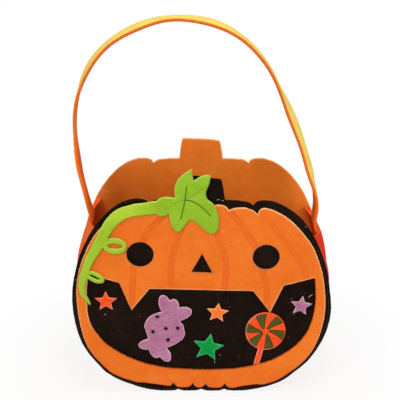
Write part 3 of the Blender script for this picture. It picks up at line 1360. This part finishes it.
class FELT_OT_lint(bpy.types.Operator):
    """Lays pale fibres on the black felt"""

    bl_idname = "felt.lint"
    bl_label = "Lint"
    bl_options = {"REGISTER", "UNDO"}

    def execute(self, context):
        # Thin bent tubes that lie on the felt, y = bend times (1 - s squared)
        s = np.linspace(-1, 1, 8)
        route = np.column_stack([s / 2, 0.16 * (1 - s**2)])
        shape, faces = tube_shape(route, 0.055 * np.sqrt(np.clip(1 - s**2, 0.05, 1)))
        rng = np.random.default_rng(17)
        extra = np.column_stack([rng.uniform(low, high, FINE_LINT) for low, high in FINE_RANGES])
        rows = np.vstack([LINT, extra])
        flat = rows[:, :2] / 1000
        face_loops, panel_loops = (
            [even_steps(loop, 0.001) for loop in node_loops(node)] for node in ("face_overlay", "front_panel")
        )
        keep = inside(flat, panel_loops) & ~inside(flat, face_loops)
        for node in LINT_COVERS:
            keep &= ~inside(flat, node_loops(node))
        rows, flat = rows[keep], flat[keep]
        length = rows[:, 2] / 1000
        turn = np.radians(rows[:, 3])
        none = np.zeros(len(rows))
        along = np.column_stack([np.cos(turn), none, np.sin(turn)])
        up = np.column_stack([-np.sin(turn), none, np.cos(turn)])
        out = np.column_stack([none, none - 1, none])
        frames = np.stack([along, up, out], axis=2) * length[:, None, None]
        # A long fibre is no thicker than one of 2.7 mm, and of the fine lint than one of 1.2 mm
        marked = np.arange(len(rows)) < np.sum(keep[: len(LINT)])
        frames[:, :, 1:] *= np.minimum(1.0, np.where(marked, 0.0027, 0.0012) / length)[:, None, None]
        y = PANEL_FRONT - 0.00008 + front_warp(flat[:, 0], flat[:, 1])
        places = np.column_stack([flat[:, 0], y, flat[:, 1]])
        pale = thread_material("pale_fibre", "#D8D2CA", "#FFFDF8")
        repeated("pale_lint", shape, faces, places, frames, pale)
        return {"FINISHED"}


def seen_directly(tree):
    """1 for the rays that show the background: from the camera, off gloss and through glass."""
    seen = add(tree, "LightPath", out="Is Camera Ray")
    rays = seen.node.outputs
    for ray in ("Is Glossy Ray", "Is Transmission Ray"):
        seen = add(tree, "Math", {0: seen, 1: rays[ray]}, operation="MAXIMUM")
    return seen


class FELT_OT_stage(bpy.types.Operator):
    """Adds the pale paper floor, the lamps and the camera"""

    bl_idname = "felt.stage"
    bl_label = "Stage"
    bl_options = {"REGISTER", "UNDO"}

    def execute(self, context):
        settings = context.scene.felt_basket
        scene = context.scene
        mesh = bpy.data.meshes.new("paper_floor")
        angle = np.arange(FLOOR_SIDES) * 2 * math.pi / FLOOR_SIDES
        circles = [np.outer(FLOOR_RADII, np.cos(angle)), np.outer(FLOOR_RADII, np.sin(angle))]
        rings = np.stack([*circles, np.full_like(circles[0], FLOOR_DEPTH)], -1)
        index = np.arange(rings[..., 0].size).reshape(-1, FLOOR_SIDES)
        quads = grid_faces(np.column_stack([index, index[:, 0]]))
        mesh.from_pydata(rings.reshape(-1, 3).tolist(), [], [index[0].tolist()] + quads.tolist())
        floor = place_piece("paper_floor", mesh)
        # Matt studio paper: its grain hardly shows, and from some way off it is lost in white light
        paper, tree, shader = new_material("studio_paper")
        place = add(tree, "TexCoord", out="Object")
        grain = add(tree, "TexNoise", {"Vector": place, "Scale": PAPER_GRAIN, "Detail": 3.0})
        darker = tuple(value * 0.985 for value in settings.floor_colour[:3]) + (1.0,)
        tones = ((0.3, darker), (0.7, tuple(settings.floor_colour)))
        colour = add(tree, "ValToRGB", {"Fac": grain}, stops=tones)
        wire(shader, {"Base Color": colour, "Roughness": 0.9, "Specular IOR Level": 0.0})
        away = add(tree, "VectorMath", {0: place}, out="Value", operation="LENGTH")
        fading = add(
            tree, "MapRange", {"Value": away, "From Min": FLOOR_FADE[0], "From Max": FLOOR_FADE[1]},
            interpolation_type="SMOOTHSTEP",
        )
        lift = add(tree, "MapRange", {"Value": fading, "To Min": settings.floor_lift, "To Max": 1.0})
        share = add(tree, "Math", {0: lift, 1: seen_directly(tree)}, operation="MULTIPLY")
        white = add(tree, "Emission", {"Color": (1, 1, 1, 1), "Strength": 1.0})
        mixed = add(tree, "MixShader", {0: share, 1: shader.outputs[0], 2: white})
        wire(tree.nodes["Material Output"], {"Surface": mixed})
        floor.data.materials.append(paper)

        scene.world = bpy.data.worlds.new("studio")
        scene.world.use_nodes = True
        tree = scene.world.node_tree
        level = add(
            tree, "MapRange", {"Value": seen_directly(tree), "To Min": WORLD_LEVEL, "To Max": 1.0}
        )
        wire(tree.nodes["Background"], {"Color": (1, 1, 1, 1), "Strength": level})

        for name, at, target, size, power in LAMPS:
            light = bpy.data.lights.new(name, "AREA")
            light.size = size
            light.energy = power
            lamp = bpy.data.objects.new(name, light)
            lamp.location = at
            lamp.rotation_euler = (Vector(target) - Vector(at)).to_track_quat("-Z", "Y").to_euler()
            scene.collection.objects.link(lamp)

        lens = bpy.data.cameras.new("camera")
        lens.lens = CAMERA_LENS
        lens.clip_start = 0.01
        camera = bpy.data.objects.new("camera", lens)
        camera.location = (*CAMERA_PLACE, settings.camera_height)
        camera.rotation_euler = (CAMERA_TILT, 0, 0)
        scene.collection.objects.link(camera)
        bpy.context.scene.camera = camera
        bpy.context.scene.view_settings.view_transform = "Standard"
        return {"FINISHED"}


# In the order in which they run
OPERATORS = (
    FELT_OT_front_panel, FELT_OT_back_panel, FELT_OT_gusset, FELT_OT_face, FELT_OT_leaf, FELT_OT_stars,
    FELT_OT_candy, FELT_OT_lollipop, FELT_OT_strap, FELT_OT_stitches, FELT_OT_lint, FELT_OT_stage,
)


class VIEW3D_PT_felt_basket(bpy.types.Panel):
    """Lists the basket's settings and steps"""

    bl_label = "Felt basket"
    bl_space_type = "VIEW_3D"
    bl_region_type = "UI"
    bl_category = "Felt basket"

    def draw(self, context):
        column = self.layout.column()
        for name in FeltBasketSettings.__annotations__:
            column.prop(context.scene.felt_basket, name)
        for operator in OPERATORS:
            column.operator(operator.bl_idname)


CLASSES = (FeltBasketSettings, *OPERATORS, VIEW3D_PT_felt_basket)


def register():
    """Makes the classes and the settings known."""
    for item in CLASSES:
        bpy.utils.register_class(item)
    bpy.types.Scene.felt_basket = bpy.props.PointerProperty(type=FeltBasketSettings)


def unregister():
    """Takes both away again."""
    del bpy.types.Scene.felt_basket
    for item in reversed(CLASSES):
        bpy.utils.unregister_class(item)


def main():
    """Runs every step in order."""
    register()
    for step in OPERATORS:
        group, name = step.bl_idname.split(".")
        getattr(getattr(bpy.ops, group), name)()
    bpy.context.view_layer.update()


if __name__ == "__main__":
    main()
